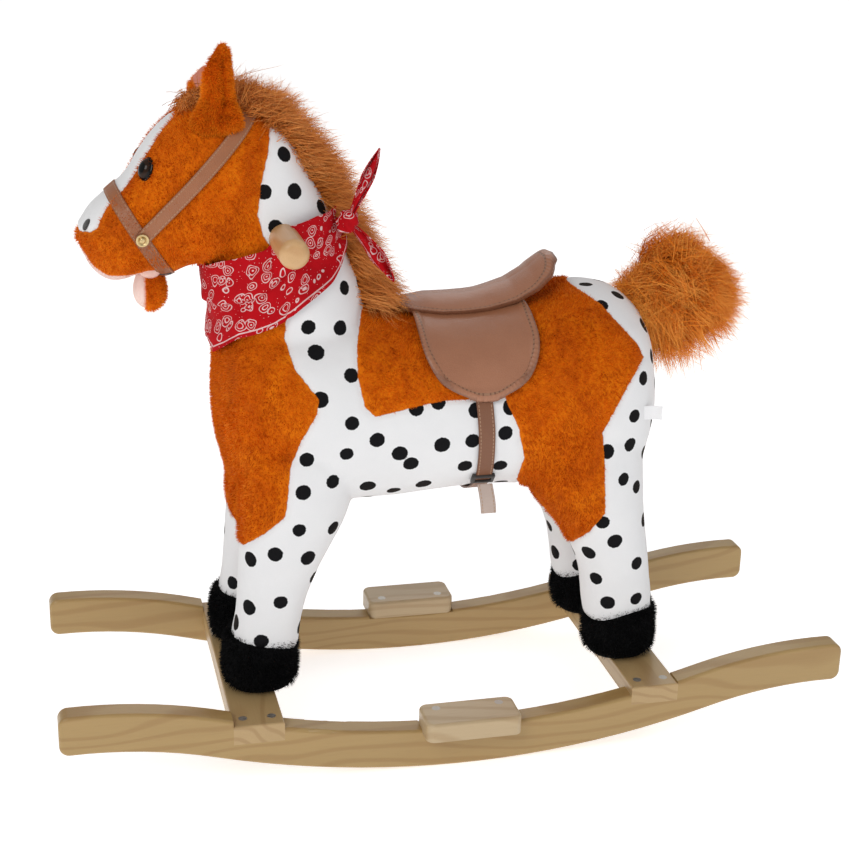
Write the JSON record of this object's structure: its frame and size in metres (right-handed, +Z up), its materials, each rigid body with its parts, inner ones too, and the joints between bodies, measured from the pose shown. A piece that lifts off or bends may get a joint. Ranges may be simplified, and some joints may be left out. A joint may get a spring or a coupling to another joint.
{
  "type": "rocking horse",
  "caption": "Plush-covered rocking horse on curved wooden rockers with crossbars, footrests, handle, saddle, bridle, neckerchief, opening jaw and wagging tail.",
  "frame": {"origin": "on the floor, under the middle of the rockers", "axes": "-X is the way the horse faces, -Y its left side, +Z up"},
  "size_m": [0.74, 0.3, 0.6479],
  "materials": {
    "steel": "zinc plated, dull",
    "base_pine": "satin clear lacquer over pine grain",
    "handle_wood": "satin clear lacquer, turned",
    "frame_wood": "rough sawn, hidden",
    "body_plush": "short plush pile, white with black spots and orange patches",
    "head_plush": "short orange plush pile",
    "leg_plush": "short plush pile, white with black spots",
    "hoof_plush": "black plush pile",
    "mane_hair": "long ginger brown pile",
    "tail_hair": "long ginger brown pile",
    "jaw_plush": "short orange plush, pale lining",
    "eye_plastic": "glossy black dome",
    "saddle_leather": "dark brown leatherette, stitched edge",
    "strap_leather": "brown leatherette",
    "buckle_plastic": "dark moulded slider",
    "brass": "antique brass",
    "neckerchief_cloth": "thin red cotton with a white printed border",
    "label_cloth": "blank white woven tape",
    "cell_metal": "metal jacket",
    "inner_plastic": "moulded, hidden"
  },
  "bodies": {
    "root": {"batteries": "cell_metal", "battery_box": "inner_plastic", "battery_cover": "inner_plastic", "bridle_rivets": "brass", "care_label": "label_cloth", "cheek_strap": "strap_leather", "crossbar_screws": "steel", "ear_left": "head_plush", "ear_right": "head_plush", "ear_switch": "inner_plastic", "eyes": "eye_plastic", "footrest_left": "base_pine", "footrest_right": "base_pine", "footrest_screws": "steel", "forelock": "mane_hair", "frame_bolts": "steel", "front_crossbar": "base_pine", "front_hoof_left": "hoof_plush", "front_hoof_right": "hoof_plush", "front_leg_left": "leg_plush", "front_leg_post_left": "frame_wood", "front_leg_post_right": "frame_wood", "front_leg_right": "leg_plush", "girth_buckle": "buckle_plastic", "girth_strap": "strap_leather", "handle_dowel": "handle_wood", "head": "head_plush", "head_bracket": "frame_wood", "hip_board": "frame_wood", "jaw_motor": "inner_plastic", "jaw_pin": "steel", "leg_screws": "steel", "mane": "mane_hair", "neck": "head_plush", "neck_post": "frame_wood", "neckerchief": "neckerchief_cloth", "noseband": "strap_leather", "rear_crossbar": "base_pine", "rear_hoof_left": "hoof_plush", "rear_hoof_right": "hoof_plush", "rear_leg_left": "leg_plush", "rear_leg_post_left": "frame_wood", "rear_leg_post_right": "frame_wood", "rear_leg_right": "leg_plush", "rocker_left": "base_pine", "rocker_right": "base_pine", "saddle_flap_left": "saddle_leather", "saddle_flap_right": "saddle_leather", "saddle_seat": "saddle_leather", "shoulder_board": "frame_wood", "sound_unit": "inner_plastic", "spine_plank": "frame_wood", "tail_motor": "inner_plastic", "tail_pin": "steel", "torso": "body_plush"},
    "jaw": {"jaw_pad": "jaw_plush", "jaw_arm": "inner_plastic"},
    "tail": {"tail_hair": "tail_hair", "tail_arm": "inner_plastic"},
    "ear_button": {"ear_button": "inner_plastic"}
  },
  "joints": [
    {"name": "jaw_hinge", "type": "hinge", "parent": "root", "child": "jaw", "pos_m": [-0.269, 0, 0.454], "axis": [0, 1, 0], "range_deg": [0, 40]},
    {"name": "tail_wag", "type": "hinge", "parent": "root", "child": "tail", "pos_m": [0.174, 0, 0.392], "axis": [0, 0, 1], "range_deg": [-20, 20]},
    {"name": "ear_button_press", "type": "slide", "parent": "root", "child": "ear_button", "axis": [0, 1, 0], "range_m": [0, 0.0015], "stiffness_N_per_m": 300}
  ]
}
